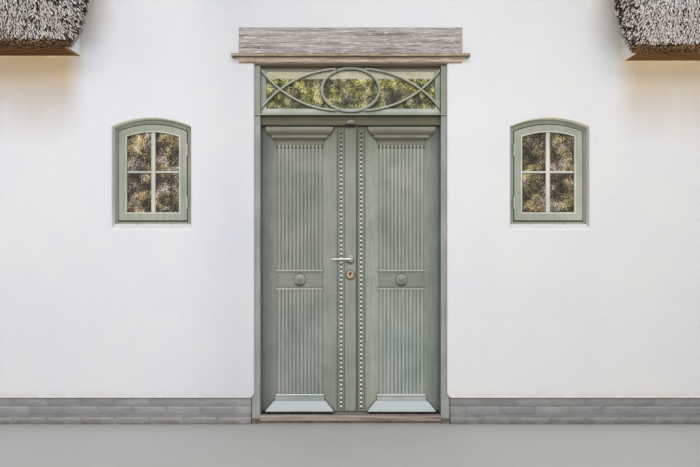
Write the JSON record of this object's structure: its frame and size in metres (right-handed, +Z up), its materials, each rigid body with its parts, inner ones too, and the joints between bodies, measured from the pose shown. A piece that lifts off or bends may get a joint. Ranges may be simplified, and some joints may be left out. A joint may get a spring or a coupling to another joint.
{
  "type": "entrance front of a thatched house",
  "caption": "White plastered house wall with a panelled double door under a fanlight, small arched windows and thatched eaves; both door leaves open inwards.",
  "frame": {"origin": "on the ground, under the middle of the doorway, in the middle of the wall's thickness", "axes": "+X along the wall to the right as seen from outside, +Y into the house, +Z up"},
  "size_m": [5.2, 0.7525, 3.8],
  "materials": {
    "plaster": "limewashed plaster, matt, faint trowel relief",
    "plinth_paint": "grey painted brick",
    "footing_stone": "rough stone",
    "weathered_oak": "weathered grey oak with open grain",
    "drip_oak": "weathered brown oak",
    "threshold_oak": "worn weathered oak",
    "sage_paint": "sage grey linseed paint on wood, satin",
    "window_glass": "clear old glass",
    "steel": "brushed",
    "brass": "worn brass",
    "hinge_steel": "satin",
    "roof_timber": "sawn softwood",
    "soffit_wood": "brown stained boards",
    "end_board_paint": "light grey paint, worn",
    "thatch": "weathered reed"
  },
  "bodies": {
    "house_front": {"brick_plinth": "plinth_paint", "door_footing": "footing_stone", "door_jambs": "sage_paint", "drip_moulding": "drip_oak", "end_boards": "end_board_paint", "fanlight_frame": "sage_paint", "fanlight_glass": "window_glass", "fanlight_tracery": "sage_paint", "frame_head": "sage_paint", "glazing_beads": "sage_paint", "hinge_pins": "hinge_steel", "left_casement": "sage_paint", "left_thatch": "thatch", "left_wall": "plaster", "left_window_frame": "sage_paint", "lintel_beam": "weathered_oak", "rafters": "roof_timber", "right_casement": "sage_paint", "right_thatch": "thatch", "right_wall": "plaster", "right_window_frame": "sage_paint", "soffit_boards": "soffit_wood", "threshold": "threshold_oak", "transom": "sage_paint", "wall_over_door": "plaster", "wall_plates": "roof_timber", "window_glass": "window_glass", "window_sills": "plaster"},
    "left_door": {"left_leaf": "sage_paint", "left_pilaster_cap": "sage_paint", "left_pilaster_base": "sage_paint", "left_reeded_panels": "sage_paint", "left_pilaster_band": "sage_paint", "left_bead_strip": "sage_paint", "meeting_strip": "sage_paint", "left_hinge_sockets": "hinge_steel", "handle_roses": "steel", "lock_escutcheon": "brass"},
    "right_door": {"right_leaf": "sage_paint", "right_pilaster_cap": "sage_paint", "right_pilaster_base": "sage_paint", "right_reeded_panels": "sage_paint", "right_pilaster_band": "sage_paint", "right_bead_strip": "sage_paint", "right_hinge_sockets": "hinge_steel"},
    "lever": {"lever_handle": "steel"}
  },
  "joints": [
    {"name": "left_door_swing", "type": "hinge", "parent": "house_front", "child": "left_door", "pos_m": [-0.6495, -0.025, 1.1], "axis": [0, 0, 1], "range_deg": [0, 95]},
    {"name": "right_door_swing", "type": "hinge", "parent": "house_front", "child": "right_door", "pos_m": [0.6495, -0.025, 1.1], "axis": [0, 0, -1], "range_deg": [0, 95]},
    {"name": "lever_turn", "type": "hinge", "parent": "left_door", "child": "lever", "pos_m": [-0.002, -0.09, 1.158], "axis": [0, -1, 0], "range_deg": [0, 40], "stiffness_Nm_per_rad": 1.2, "springref_deg": -28.65}
  ]
}
